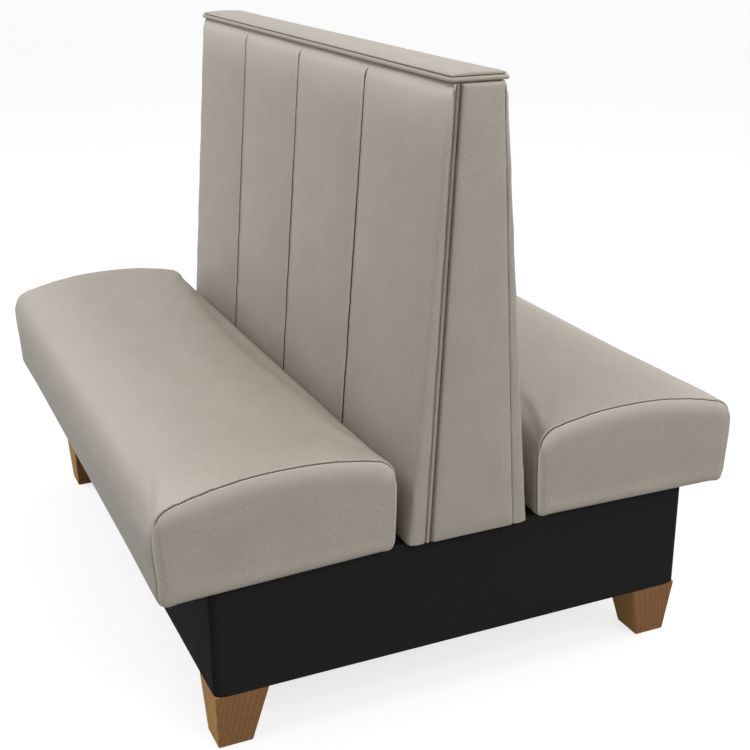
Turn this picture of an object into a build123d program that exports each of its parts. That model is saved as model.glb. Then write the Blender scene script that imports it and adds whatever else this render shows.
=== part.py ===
import os
from math import cos, radians, sin

from build123d import *

# A double restaurant booth: two upholstered benches back to back against a shared channelled
# back, on a black box base with four tapered oak legs. Millimetres, +X along the benches,
# +Z up, origin on the floor under the middle. The front bench is the one on the -Y side.

os.makedirs("parts", exist_ok=True)

# Overall sizes
booth_length = 1219.2
booth_depth = 1066.8
booth_height = 1066.8

# Fits
soft_clearance = 0.3
bolt_clearance = 0.2
cut_overrun = 5.0

# Base box and the deck that closes its top
base_bottom = 108.0
base_height = 205.0
base_end_inset = 15.6
base_front_inset = 87.4
base_board_thickness = 18.0
base_corner_radius = 15.0
base_edge_radius = 1.5
base_deck_thickness = 12.0
base_rail_width = 70.0
base_rail_height = 45.0
rail_end_inset = 209.6
corner_block_side = 100.0
corner_block_height = 45.0

# Legs and their fittings
leg_top_side = 92.0
leg_foot_side = 60.0
leg_inset = 1.0
leg_end_taper = 16.0
leg_front_taper = 5.0
leg_edge_radius = 3.0
leg_foot_chamfer = 1.5
leg_bolt_diameter = 8.0
leg_bolt_depth = 38.0
leg_bolt_rise = 18.0
leg_plate_side = 48.0
leg_plate_thickness = 5.0
leg_plate_corner = 5.0
plate_screw_pitch = 34.0
plate_screw_length = 25.0

# Countersunk screws
screw_shank_diameter = 4.0
screw_head_diameter = 8.0
screw_head_height = 2.6
screw_rim_height = 0.4

# Lag screws that hold the benches and the back down to the base
lag_diameter = 8.0
lag_length = 92.0
lag_head_across = 13.0
lag_head_height = 5.5
bench_lag_near = 215.0
bench_lag_far = 390.0
back_lag_offset = 38.0

# Bench upholstery
bench_tail = 128.0
bench_crown_height = 496.0
bench_crown_place = 310.0
nose_corner_height = 460.0
tail_corner_height = 472.0
nose_tuck = 6.0
tail_tuck = 5.0
side_bow = 2.0
bench_corner_radius = 38.0
bench_hem_radius = 7.0
bench_end_draw = 3.0
bench_end_round = 26.0
bench_end_puff = 7.0
bench_end_roll = 30.0
cover_thickness = 3.0
cover_turn_under = 18.0
edge_foam_least = 3.0

# Bench frame
bench_rail_thickness = 20.0
bench_rail_height = 75.0
bench_cross_width = 45.0
bench_deck_thickness = 15.0
bench_rail_easing = 3.0
dust_cover_thickness = 1.0
dust_cover_margin = 6.0

# Back frame, half widths measured from the middle of the booth
back_foot_half = 76.0
back_head_half = 34.0
back_board_thickness = 18.0
back_bottom_rail_height = 45.0
back_rib_count = 2
facing_thickness = 6.0

# Back upholstery
pad_foot_half = 116.0
pad_head_half = 53.0
channel_count = 4
seam_width = 15.0
seam_depth_share = 0.6
channel_crown = 2.0
pad_end_radius = 9.0
pad_top_roll = 14.0
pad_top_drop = 6.0
pad_foot_roll = 6.0
pad_foot_drop = 2.0
end_cover_margin = 9.5
end_cover_thickness = 6.6
end_cover_rounding = 3.0
end_cover_top_gap = 0.5
welt_diameter = 7.0

# Cap
cap_board_thickness = 10.0
cap_pad_thickness = 5.5
cap_board_half_depth = 42.0
cap_pad_overhang = 5.0
cap_pad_rounding = 3.5
cap_welt_diameter = 8.0
cap_screw_length = 25.0
cap_screw_inset = 159.6
cap_screw_count = 4

# Heights, half lengths and places worked out from the sizes above
base_top = base_bottom + base_height
half_length = booth_length / 2
half_depth = booth_depth / 2
base_half_length = half_length - base_end_inset
base_half_depth = half_depth - base_front_inset
base_inner_length = base_half_length - base_board_thickness
base_inner_depth = base_half_depth - base_board_thickness
base_deck_bottom = base_top - base_deck_thickness
base_rail_bottom = base_deck_bottom - base_rail_height
rail_offset = half_length - rail_end_inset
plate_top = base_bottom + leg_plate_thickness
leg_center_x = base_half_length - leg_inset - leg_top_side / 2
leg_center_y = base_half_depth - leg_inset - leg_top_side / 2
seam_x = half_length - bench_end_puff
bench_bottom = base_top
rail_nose = half_depth - nose_tuck - bench_end_draw - cover_thickness - edge_foam_least
rail_tail = bench_tail + tail_tuck + bench_end_draw + cover_thickness + edge_foam_least
rail_bottom = bench_bottom + cover_thickness + soft_clearance
rail_top = bench_bottom + bench_rail_height
deck_top = rail_top + bench_deck_thickness
frame_half_length = seam_x - soft_clearance
cross_span = rail_nose - rail_tail - 2 * bench_rail_thickness
cross_center = -(rail_nose + rail_tail) / 2
cross_bottom = bench_bottom + dust_cover_thickness
end_cross_x = frame_half_length - bench_cross_width / 2
cross_places = (-end_cross_x, -rail_offset, rail_offset, end_cross_x)
back_bottom = base_top
cap_board_top = booth_height - cap_pad_thickness
back_top = cap_board_top - cap_board_thickness
back_height = back_top - back_bottom
back_half_length = half_length - end_cover_thickness
end_board_inner = back_half_length - back_board_thickness
back_rib_offset = end_board_inner / (back_rib_count + 1)
top_rail_bottom = back_top - back_board_thickness
bottom_rail_top = back_bottom + back_bottom_rail_height
welt_radius = welt_diameter / 2
cap_board_half_length = half_length - cap_welt_diameter
cap_screw_pitch = 2 * (half_length - cap_screw_inset) / (cap_screw_count - 1)
lag_places = [
    (x, y)
    for x in (-rail_offset, rail_offset)
    for y in (
        -bench_lag_far,
        -bench_lag_near,
        -back_lag_offset,
        back_lag_offset,
        bench_lag_near,
        bench_lag_far,
    )
]
leg_corners = {
    "front_left": (-1, -1),
    "front_right": (1, -1),
    "rear_left": (-1, 1),
    "rear_right": (1, 1),
}
leg_centers = [(sx * leg_center_x, sy * leg_center_y) for sx, sy in leg_corners.values()]


def save(piece, name):
    piece.part.label = name
    export_step(piece.part, f"parts/{name}.step")


# The wedge of the back: a half width at a height, between its foot and its head
def along_back(height, foot, head):
    return foot + (head - foot) * (height - back_bottom) / back_height


def frame_half(height):
    return along_back(height, back_foot_half, back_head_half)


def facing_half(height):
    return frame_half(height) + facing_thickness


def pad_half(height):
    return along_back(height, pad_foot_half, pad_head_half)


# Base boards: two long boards with rounded outer corners, and two end boards between them
with BuildPart() as base_front_board:
    with BuildSketch(Plane.XY.offset(base_bottom)):
        with Locations((0, -base_half_depth + base_board_thickness / 2)):
            Rectangle(2 * base_half_length, base_board_thickness)
        fillet(vertices().group_by(Axis.Y)[0], radius=base_corner_radius)
    extrude(amount=base_height)
    low_rim = faces().sort_by(Axis.Z)[0].edges().filter_by(Axis.X).sort_by(Axis.Y)[0]
    fillet(low_rim, radius=base_edge_radius)
save(base_front_board, "base_front_board")

with BuildPart() as base_rear_board:
    mirror(base_front_board.part, about=Plane.XZ)
save(base_rear_board, "base_rear_board")

for side, sign in (("left", -1), ("right", 1)):
    with BuildPart() as base_end_board:
        with BuildSketch(Plane.XY.offset(base_bottom)):
            with Locations((sign * (base_half_length - base_board_thickness / 2), 0)):
                Rectangle(base_board_thickness, 2 * base_inner_depth)
        extrude(amount=base_height)
    save(base_end_board, f"base_{side}_board")

    # Cross rail under the deck, drilled for the lag screws
    with BuildPart() as base_cross_rail:
        with BuildSketch(Plane.XY.offset(base_rail_bottom)):
            with Locations((sign * rail_offset, 0)):
                Rectangle(base_rail_width, 2 * base_inner_depth)
            with Locations([place for place in lag_places if place[0] * sign > 0]):
                Circle(lag_diameter / 2 + bolt_clearance, mode=Mode.SUBTRACT)
        extrude(amount=base_rail_height)
    save(base_cross_rail, f"base_cross_rail_{side}")

# Deck between the boards, level with their tops, drilled for the same lag screws
with BuildPart() as base_deck:
    with BuildSketch(Plane.XY.offset(base_deck_bottom)):
        Rectangle(2 * base_inner_length, 2 * base_inner_depth)
        with Locations(lag_places):
            Circle(lag_diameter / 2 + bolt_clearance, mode=Mode.SUBTRACT)
    extrude(amount=base_deck_thickness)
save(base_deck, "base_deck")

# Corner blocks over the leg plates, drilled for the leg bolts and the plate screws
block_x = base_inner_length - corner_block_side / 2
block_y = base_inner_depth - corner_block_side / 2
plate_screw_places = [
    (x + dx, y + dy)
    for x, y in leg_centers
    for dx in (-plate_screw_pitch / 2, plate_screw_pitch / 2)
    for dy in (-plate_screw_pitch / 2, plate_screw_pitch / 2)
]
with BuildPart() as base_corner_blocks:
    with BuildSketch(Plane.XY.offset(plate_top)):
        with Locations([(sx * block_x, sy * block_y) for sx, sy in leg_corners.values()]):
            Rectangle(corner_block_side, corner_block_side)
        with Locations(leg_centers):
            Circle(leg_bolt_diameter / 2 + bolt_clearance, mode=Mode.SUBTRACT)
        with Locations(plate_screw_places):
            Circle(screw_shank_diameter / 2 + bolt_clearance, mode=Mode.SUBTRACT)
    extrude(amount=corner_block_height)
save(base_corner_blocks, "base_corner_blocks")


# A countersunk screw, head up, with the top of its head at the origin
def countersunk_screw(length):
    head_radius = screw_head_diameter / 2
    shank_radius = screw_shank_diameter / 2
    with BuildPart() as screw:
        with BuildSketch(Plane.XZ):
            Polygon(
                (0, 0),
                (head_radius, 0),
                (head_radius, -screw_rim_height),
                (shank_radius, -screw_head_height),
                (shank_radius, -length + shank_radius),
                (0, -length),
                align=None,
            )
        revolve(axis=Axis.Z)
    return screw.part


# The hole for that screw through a plate or board: countersink and shank
def countersunk_hole(depth):
    head_radius = screw_head_diameter / 2 + bolt_clearance
    shank_radius = screw_shank_diameter / 2 + bolt_clearance
    with BuildPart() as hole:
        with BuildSketch(Plane.XZ):
            Polygon(
                (0, cut_overrun),
                (head_radius, cut_overrun),
                (head_radius, -screw_rim_height),
                (shank_radius, -screw_head_height),
                (shank_radius, -depth),
                (0, -depth),
                align=None,
            )
        revolve(axis=Axis.Z)
    return hole.part


# Leg plates: the screws go up through them, so their countersinks open downwards
with BuildPart() as leg_plates:
    with BuildSketch(Plane.XY.offset(base_bottom)):
        with Locations(leg_centers):
            RectangleRounded(leg_plate_side, leg_plate_side, leg_plate_corner)
            Circle(leg_bolt_diameter / 2 + bolt_clearance, mode=Mode.SUBTRACT)
    extrude(amount=leg_plate_thickness)
    plate_hole = countersunk_hole(leg_plate_thickness + cut_overrun)
    with Locations([Pos(x, y, base_bottom) * Rot(X=180) for x, y in plate_screw_places]):
        add(plate_hole, mode=Mode.SUBTRACT)
save(leg_plates, "leg_plates")

with BuildPart() as leg_plate_screws:
    plate_screw = countersunk_screw(plate_screw_length)
    with Locations([Pos(x, y, base_bottom) * Rot(X=180) for x, y in plate_screw_places]):
        add(plate_screw)
save(leg_plate_screws, "leg_plate_screws")

with BuildPart() as leg_hanger_bolts:
    with BuildSketch(Plane.XY.offset(base_bottom - leg_bolt_depth)):
        with Locations(leg_centers):
            Circle(leg_bolt_diameter / 2)
    extrude(amount=leg_bolt_depth + leg_bolt_rise)
save(leg_hanger_bolts, "leg_hanger_bolts")

# Legs: square and tapered, nearly upright on the face that continues the long board
foot_shift_x = (leg_top_side - leg_foot_side) / 2 - leg_end_taper
foot_shift_y = (leg_top_side - leg_foot_side) / 2 - leg_front_taper
for corner, (sx, sy) in leg_corners.items():
    with BuildPart() as leg:
        with BuildSketch(Plane.XY):
            with Locations((sx * (leg_center_x + foot_shift_x), sy * (leg_center_y + foot_shift_y))):
                RectangleRounded(leg_foot_side, leg_foot_side, leg_edge_radius)
        with BuildSketch(Plane.XY.offset(base_bottom)):
            with Locations((sx * leg_center_x, sy * leg_center_y)):
                RectangleRounded(leg_top_side, leg_top_side, leg_edge_radius)
        loft(ruled=True)
        chamfer(faces().sort_by(Axis.Z)[0].edges(), length=leg_foot_chamfer)
        with BuildSketch(Plane.XY.offset(base_bottom)):
            with Locations((sx * leg_center_x, sy * leg_center_y)):
                Circle(leg_bolt_diameter / 2 + bolt_clearance)
        extrude(amount=-(leg_bolt_depth + bolt_clearance), mode=Mode.SUBTRACT)
    save(leg, f"leg_{corner}")

# Lag screws, driven up through the base's cross rails
with BuildPart() as lag_screws:
    with BuildSketch(Plane.XY.offset(base_rail_bottom)):
        with Locations(lag_places):
            RegularPolygon(lag_head_across / 2, 6, major_radius=False)
    extrude(amount=-lag_head_height)
    with BuildSketch(Plane.XY.offset(base_rail_bottom)):
        with Locations(lag_places):
            Circle(lag_diameter / 2)
    extrude(amount=lag_length)
save(lag_screws, "lag_screws")


# One upright section across the front bench, drawn in by one length at the nose, the tail and
# the crown, and lifted by another at the bottom, whose corners have the radius of the hem
def bench_section(place, draw, lift, hem):
    nose = -half_depth + draw
    tail = -bench_tail - draw
    bottom = bench_bottom + lift
    nose_top = nose_corner_height - draw
    tail_top = tail_corner_height - draw
    with BuildSketch(Plane.YZ.offset(place)) as section:
        with BuildLine():
            nose_foot = (nose + nose_tuck, bottom)
            tail_foot = (tail - tail_tuck, bottom)
            Line(tail_foot, nose_foot)
            nose_middle = (nose + nose_tuck / 2 - side_bow, (bottom + nose_top) / 2)
            ThreePointArc(nose_foot, nose_middle, (nose, nose_top))
            crown = (-bench_crown_place, bench_crown_height - draw)
            ThreePointArc((nose, nose_top), crown, (tail, tail_top))
            tail_middle = (tail - tail_tuck / 2 + side_bow, (bottom + tail_top) / 2)
            ThreePointArc((tail, tail_top), tail_middle, tail_foot)
        make_face()
        fillet(vertices().group_by(Axis.Y)[0], radius=hem)
        fillet(vertices().sort_by(Axis.Y)[-2:], radius=bench_corner_radius)
    return section.sketch


# Places along the bench and how far each is drawn in: full in the middle, rounded at the ends
round_angles = (0, 30, 60, 90)
end_stations = [
    (seam_x - bench_end_round * (1 - sin(radians(a))), bench_end_draw * (1 - cos(radians(a))))
    for a in round_angles
]
bench_stations = [(-x, draw) for x, draw in reversed(end_stations)] + end_stations


# The bench's whole form, inset evenly all round
def bench_form(inset):
    hem = bench_hem_radius - inset
    sections = [bench_section(x, draw + inset, inset, hem) for x, draw in bench_stations]
    with BuildPart() as form:
        loft(sections, ruled=True)
    return form.part


bench_skin = bench_form(0)
bench_lining = bench_form(cover_thickness)
bench_core = bench_form(cover_thickness + soft_clearance)

# Vinyl cover of the front bench, open at its ends and turned under at the front and the back
with BuildPart() as bench_cover:
    add(bench_skin)
    add(bench_lining, mode=Mode.SUBTRACT)
    with BuildSketch(Plane.XY.offset(bench_bottom - cut_overrun)):
        with Locations((0, cross_center)):
            Rectangle(booth_length, rail_nose - rail_tail - 2 * cover_turn_under)
    extrude(amount=cut_overrun + 2 * cover_thickness, mode=Mode.SUBTRACT)

# Foam block: everything inside the cover above the deck
with BuildPart() as bench_foam:
    add(bench_core)
    split(bisect_by=Plane.XY.offset(deck_top), keep=Keep.TOP)

# Strips of thinner foam between the long rails and the cover, under the foam block
with BuildPart() as bench_edge_foam:
    add(bench_core)
    split(bisect_by=Plane.XY.offset(deck_top), keep=Keep.BOTTOM)
    with BuildSketch(Plane.XY.offset(bench_bottom - cut_overrun)):
        with Locations((0, cross_center)):
            Rectangle(booth_length, rail_nose - rail_tail + 2 * soft_clearance)
    extrude(amount=booth_height, mode=Mode.SUBTRACT)

# The puffed panel that closes each end of the bench, sewn to the cover along its rim
end_angles = (0, 25, 50, 75)
end_sections = [
    bench_section(
        seam_x + bench_end_puff * sin(radians(a)) / sin(radians(end_angles[-1])),
        bench_end_draw + bench_end_roll * (1 - cos(radians(a))),
        bench_end_roll * (1 - cos(radians(a))) / 2,
        bench_hem_radius,
    )
    for a in end_angles
]
with BuildPart() as bench_end_panel:
    loft(end_sections, ruled=True)

# Long rails of the bench frame: one behind the nose, one at the tail, with eased outer edges
long_rails = {}
for name, face, outward in (("nose", rail_nose, -1), ("tail", rail_tail, 1)):
    with BuildPart() as bench_rail:
        with BuildSketch(Plane.XY.offset(rail_bottom)):
            with Locations((0, -face - outward * bench_rail_thickness / 2)):
                Rectangle(2 * frame_half_length, bench_rail_thickness)
        extrude(amount=rail_top - rail_bottom)
        outer_face = faces().sort_by(Axis.Y)[0 if outward < 0 else -1]
        fillet(outer_face.edges().filter_by(Axis.X).sort_by(Axis.Z)[0], radius=bench_rail_easing)
    long_rails[name] = bench_rail.part

# Cross rails between the long rails; the inner two take the lag screws
bench_lag_places = [place for place in lag_places if place[1] < -rail_tail]
with BuildPart() as bench_cross_rails:
    with BuildSketch(Plane.XY.offset(cross_bottom)):
        with Locations([(x, cross_center) for x in cross_places]):
            Rectangle(bench_cross_width, cross_span)
        with Locations(bench_lag_places):
            Circle(lag_diameter / 2 + bolt_clearance, mode=Mode.SUBTRACT)
    extrude(amount=rail_top - cross_bottom)

with BuildPart() as bench_deck:
    with BuildSketch(Plane.XY.offset(rail_top)):
        with Locations((0, cross_center)):
            Rectangle(2 * frame_half_length, rail_nose - rail_tail)
    extrude(amount=bench_deck_thickness)

# Dust cover stapled under the bench frame, inside the turned-under edges of the cover
with BuildPart() as bench_dust_cover:
    with BuildSketch(Plane.XY.offset(bench_bottom)):
        with Locations((0, cross_center)):
            Rectangle(
                2 * (frame_half_length - dust_cover_margin),
                rail_nose - rail_tail - 2 * (cover_turn_under + soft_clearance),
            )
        with Locations(bench_lag_places):
            Circle(lag_diameter / 2 + bolt_clearance, mode=Mode.SUBTRACT)
    extrude(amount=dust_cover_thickness)

bench_pieces = {
    "cover": bench_cover.part,
    "foam": bench_foam.part,
    "edge_foam": bench_edge_foam.part,
    "nose_rail": long_rails["nose"],
    "tail_rail": long_rails["tail"],
    "cross_rails": bench_cross_rails.part,
    "deck": bench_deck.part,
    "dust_cover": bench_dust_cover.part,
}
for name, piece in bench_pieces.items():
    with BuildPart() as front_piece:
        add(piece)
    save(front_piece, f"front_seat_{name}")
    with BuildPart() as rear_piece:
        mirror(piece, about=Plane.XZ)
    save(rear_piece, f"rear_seat_{name}")

with BuildPart() as front_end_right:
    add(bench_end_panel.part)
save(front_end_right, "front_seat_end_panel_right")

with BuildPart() as front_end_left:
    mirror(bench_end_panel.part, about=Plane.YZ)
save(front_end_left, "front_seat_end_panel_left")

with BuildPart() as rear_end_right:
    mirror(bench_end_panel.part, about=Plane.XZ)
save(rear_end_right, "rear_seat_end_panel_right")

with BuildPart() as rear_end_left:
    mirror(front_end_left.part, about=Plane.XZ)
save(rear_end_left, "rear_seat_end_panel_left")


# A slice of the back's wedge on an end view, less a margin on both slopes
def wedge_outline(place, bottom, top, margin):
    with BuildSketch(Plane.YZ.offset(place)) as outline:
        low = frame_half(bottom) - margin
        high = frame_half(top) - margin
        Polygon((-low, bottom), (low, bottom), (high, top), (-high, top), align=None)
    return outline.sketch


# Wedge boards of the back frame: two at the ends and two ribs inside
for side, sign in (("left", -1), ("right", 1)):
    board_start = end_board_inner if sign > 0 else -back_half_length
    with BuildPart() as back_end_board:
        extrude(wedge_outline(board_start, back_bottom, back_top, 0), amount=back_board_thickness)
    save(back_end_board, f"back_end_board_{side}")

    rib_start = sign * back_rib_offset - back_board_thickness / 2
    with BuildPart() as back_rib:
        rib_outline = wedge_outline(rib_start, bottom_rail_top, top_rail_bottom, 0)
        extrude(rib_outline, amount=back_board_thickness)
    save(back_rib, f"back_rib_{side}")

    # Padded vinyl skin on the end board, narrower than it so that the welts show
    with BuildPart() as back_end_cover:
        skin_start = sign * back_half_length
        skin_top = back_top - end_cover_top_gap
        extrude(
            wedge_outline(skin_start, back_bottom, skin_top, end_cover_margin),
            amount=sign * end_cover_thickness,
        )
        outer_skin = faces().sort_by(Axis.X)[-1 if sign > 0 else 0]
        fillet(outer_skin.edges(), radius=end_cover_rounding)
    save(back_end_cover, f"back_end_cover_{side}")

with BuildPart() as back_bottom_rail:
    extrude(
        wedge_outline(-end_board_inner, back_bottom, bottom_rail_top, 0),
        amount=2 * end_board_inner,
    )
    with BuildSketch(Plane.XY.offset(back_bottom)):
        with Locations([place for place in lag_places if abs(place[1]) < frame_half(back_bottom)]):
            Circle(lag_diameter / 2 + bolt_clearance)
    extrude(amount=back_bottom_rail_height, mode=Mode.SUBTRACT)
save(back_bottom_rail, "back_bottom_rail")

cap_screw_places = [
    ((i - (cap_screw_count - 1) / 2) * cap_screw_pitch, 0) for i in range(cap_screw_count)
]
with BuildPart() as back_top_rail:
    extrude(
        wedge_outline(-end_board_inner, top_rail_bottom, back_top, 0),
        amount=2 * end_board_inner,
    )
    with BuildSketch(Plane.XY.offset(top_rail_bottom)):
        with Locations(cap_screw_places):
            Circle(screw_shank_diameter / 2 + bolt_clearance)
    extrude(amount=back_board_thickness, mode=Mode.SUBTRACT)
save(back_top_rail, "back_top_rail")

# Thin facings on both slopes of the frame
with BuildPart() as front_facing:
    with BuildSketch(Plane.YZ.offset(-back_half_length)):
        Polygon(
            (-frame_half(back_bottom), back_bottom),
            (-facing_half(back_bottom), back_bottom),
            (-facing_half(back_top), back_top),
            (-frame_half(back_top), back_top),
            align=None,
        )
    extrude(amount=2 * back_half_length)
save(front_facing, "back_front_facing")

with BuildPart() as rear_facing:
    mirror(front_facing.part, about=Plane.XZ)
save(rear_facing, "back_rear_facing")


# A level section of one front channel: flat on the facing, rolled over at both sides and
# crowned between; drop takes its face back towards the facing
def channel_section(height, left, right, left_roll, right_roll, drop):
    back_line = -facing_half(height) - soft_clearance
    face = -pad_half(height) + drop
    shoulder = face + channel_crown
    depth = (back_line - shoulder) * seam_depth_share
    seam = shoulder + depth
    bend = 1 - cos(radians(45))
    with BuildSketch(Plane.XY.offset(height)) as section:
        with BuildLine():
            Line((left, back_line), (right, back_line))
            Line((right, back_line), (right, seam))
            ThreePointArc(
                (right, seam),
                (right - right_roll * bend, shoulder + depth * bend),
                (right - right_roll, shoulder),
            )
            ThreePointArc(
                (right - right_roll, shoulder), ((left + right) / 2, face), (left + left_roll, shoulder)
            )
            ThreePointArc(
                (left + left_roll, shoulder),
                (left + left_roll * bend, shoulder + depth * bend),
                (left, seam),
            )
            Line((left, seam), (left, back_line))
        make_face()
    return section.sketch


# Heights of the sections and how far each drops back: rolled over at the head and the foot
channel_stations = [(back_bottom, pad_foot_drop), (back_bottom + pad_foot_roll, 0)]
channel_stations += [
    (
        back_top - pad_top_roll * (1 - sin(radians(a))),
        pad_top_drop * (1 - cos(radians(a))),
    )
    for a in round_angles
]
channel_width = booth_length / channel_count
front_channels = []
for index in range(channel_count):
    left = -half_length + index * channel_width + soft_clearance / 2
    right = left + channel_width - soft_clearance
    left_roll = pad_end_radius if index == 0 else seam_width
    right_roll = pad_end_radius if index == channel_count - 1 else seam_width
    channel_sections = [
        channel_section(height, left, right, left_roll, right_roll, drop)
        for height, drop in channel_stations
    ]
    with BuildPart() as front_channel:
        loft(channel_sections, ruled=True)
    save(front_channel, f"back_front_channel_{index + 1}")
    with BuildPart() as rear_channel:
        mirror(front_channel.part, about=Plane.XZ)
    save(rear_channel, f"back_rear_channel_{index + 1}")

# Welts up the four edges of the back, each cut flat where it is stapled to the end board
welt_top = back_top - end_cover_top_gap
welt_x = half_length - welt_radius
welt_sections = []
for height in (back_bottom, welt_top):
    with BuildSketch(Plane.XY.offset(height)) as welt_section:
        with Locations((welt_x, -frame_half(height) + soft_clearance)):
            Circle(welt_radius)
        with Locations((back_half_length - welt_radius, -frame_half(height))):
            Rectangle(welt_diameter, 2 * welt_diameter, mode=Mode.SUBTRACT)
    welt_sections.append(welt_section.sketch)
with BuildPart() as back_edge_welts:
    loft(welt_sections, ruled=True)
    mirror(about=Plane.XZ)
    mirror(about=Plane.YZ)
save(back_edge_welts, "back_edge_welts")

# Cap: a board screwed to the top rail, a welt round its edge and a thin padded top
with BuildPart() as cap_board:
    with BuildSketch(Plane.XY.offset(back_top)):
        Rectangle(2 * cap_board_half_length, 2 * cap_board_half_depth)
    extrude(amount=cap_board_thickness)
    cap_hole = countersunk_hole(cap_board_thickness + cut_overrun)
    with Locations([Pos(x, y, cap_board_top) for x, y in cap_screw_places]):
        add(cap_hole, mode=Mode.SUBTRACT)
save(cap_board, "cap_board")

with BuildPart() as cap_screws:
    cap_screw = countersunk_screw(cap_screw_length)
    with Locations([Pos(x, y, cap_board_top) for x, y in cap_screw_places]):
        add(cap_screw)
save(cap_screws, "cap_screws")

cap_welt_height = (back_top + cap_board_top) / 2
cap_welt_radius = cap_welt_diameter / 2
cap_welt_x = cap_board_half_length + cap_welt_radius
cap_welt_y = cap_board_half_depth + cap_welt_radius
with BuildPart() as cap_welt:
    with BuildLine(Plane.XY.offset(cap_welt_height)) as cap_rim:
        Polyline(
            (0, -cap_welt_y),
            (cap_welt_x, -cap_welt_y),
            (cap_welt_x, cap_welt_y),
            (-cap_welt_x, cap_welt_y),
            (-cap_welt_x, -cap_welt_y),
            close=True,
        )
    with BuildSketch(Plane(origin=(0, -cap_welt_y, cap_welt_height), z_dir=(1, 0, 0))):
        Circle(cap_welt_radius - soft_clearance / 2)
    sweep(path=cap_rim.wire(), transition=Transition.RIGHT)
save(cap_welt, "cap_welt")

with BuildPart() as cap_pad:
    with BuildSketch(Plane.XY.offset(cap_board_top)):
        RectangleRounded(
            2 * (cap_board_half_length + cap_pad_overhang),
            2 * (cap_board_half_depth + cap_pad_overhang),
            cap_pad_overhang,
        )
    extrude(amount=cap_pad_thickness)
    fillet(faces().sort_by(Axis.Z)[-1].edges(), radius=cap_pad_rounding)
save(cap_pad, "cap_pad")
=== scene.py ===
import bmesh
import bpy
import math
import numpy as np
from mathutils import Matrix, Vector, kdtree


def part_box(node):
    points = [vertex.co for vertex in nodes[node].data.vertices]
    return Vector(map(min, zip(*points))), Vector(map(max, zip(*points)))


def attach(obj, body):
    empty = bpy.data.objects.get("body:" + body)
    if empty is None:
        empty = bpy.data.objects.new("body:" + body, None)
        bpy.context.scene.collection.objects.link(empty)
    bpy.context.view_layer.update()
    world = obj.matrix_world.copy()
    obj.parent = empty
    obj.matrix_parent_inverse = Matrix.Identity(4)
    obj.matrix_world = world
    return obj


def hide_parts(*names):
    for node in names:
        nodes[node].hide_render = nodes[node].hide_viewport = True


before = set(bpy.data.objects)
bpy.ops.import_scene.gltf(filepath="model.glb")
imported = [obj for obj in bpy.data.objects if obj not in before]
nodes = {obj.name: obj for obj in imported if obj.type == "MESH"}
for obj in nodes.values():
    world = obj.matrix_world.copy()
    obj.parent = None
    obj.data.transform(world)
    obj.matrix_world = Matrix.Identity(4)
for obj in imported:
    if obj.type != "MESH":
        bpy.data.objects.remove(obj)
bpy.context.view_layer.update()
mm = 0.001
scene = bpy.context.scene


# Small tools

def linear(hexColour):
    parts = [int(hexColour[i:i + 2], 16) / 255 for i in (1, 3, 5)]
    return [p / 12.92 if p <= 0.04045 else ((p + 0.055) / 1.055) ** 2.4 for p in parts] + [1]


def addNode(tree, kind, settings={}, values={}, links={}):
    node = tree.nodes.new(kind)
    for name, value in settings.items():
        setattr(node, name, value)
    for name, value in values.items():
        node.inputs[name].default_value = value
    for name, socket in links.items():
        tree.links.new(socket, node.inputs[name])
    return node


def newMaterial(name):
    material = bpy.data.materials.new(name)
    material.use_nodes = True
    tree = material.node_tree
    tree.nodes.clear()
    return material, tree


def pick(*objects):
    bpy.ops.object.select_all(action="DESELECT")
    for item in objects:
        item.select_set(True)
    bpy.context.view_layer.objects.active = objects[0]


def pointsOf(piece, what="co"):
    values = np.empty(len(piece.data.vertices) * 3)
    piece.data.vertices.foreach_get(what, values)
    return values.reshape(-1, 3)


def setPoints(piece, points):
    piece.data.vertices.foreach_set("co", points.ravel())
    piece.data.update()


def halfWidthAt(node, height):
    points = pointsOf(nodes[node])
    return np.abs(points[np.abs(points[:, 2] - height) < 1 * mm][:, 1]).max()


def ease(start, end, value):
    share = np.clip((value - start) / (end - start), 0, 1)
    return share * share * (3 - 2 * share)


def hill(value, width):
    return np.exp(-((value / width) ** 2))


def tighten(points, axis, plane, side, reach, share):
    # squeezes a rounded rim towards its plane: side is 1 where the piece lies above the plane
    off = side * (points[:, axis] - plane)
    points[:, axis] = plane + side * off * (share + (1 - share) * ease(0, reach, off))


def setPaintedShading(piece, values):
    # painted shade and painted highlight for the material: 1 is full painted shade, as deep in a
    # seam, and -1 a full painted highlight, as on a rolled edge
    paintedShading = piece.data.attributes.new("paintedShading", "FLOAT", "POINT")
    paintedShading.data.foreach_set("value", np.clip(values, -1, 1))


def treeOf(points):
    tree = kdtree.KDTree(len(points))
    for index, point in enumerate(points):
        tree.insert(point, index)
    tree.balance()
    return tree


def editAll(operator, **options):
    # one mesh operator on everything in the active piece
    bpy.ops.object.mode_set(mode="EDIT")
    bpy.ops.mesh.select_all(action="SELECT")
    operator(**options)
    bpy.ops.object.mode_set(mode="OBJECT")


def applyModifier(piece, kind, **settings):
    modifier = piece.modifiers.new(kind, kind)
    for name, value in settings.items():
        setattr(modifier, name, value)
    pick(piece)
    bpy.ops.object.modifier_apply(modifier=modifier.name)


def mirrorCopy(piece, name, axis):
    pick(piece)
    bpy.ops.object.duplicate()
    copy = bpy.context.object
    copy.name = copy.data.name = name
    copy.scale[axis] = -1
    bpy.ops.object.transform_apply(location=False, rotation=False, scale=True)
    editAll(bpy.ops.mesh.normals_make_consistent, inside=False)
    return copy


def dress(piece, material, replaced=()):
    piece.data.materials.clear()
    piece.data.materials.append(material)
    pick(piece)
    bpy.ops.object.shade_smooth()
    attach(piece, "root")
    if replaced:
        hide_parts(*replaced)


# Camera, at the photograph's viewing angle

camera = {
    "place": (2.2472, -0.9045, 1.3011),
    "aim": (0.3689, -0.0632, 0.5236),
    "lens": 60.45,
    "roll": -0.3,
}

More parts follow.
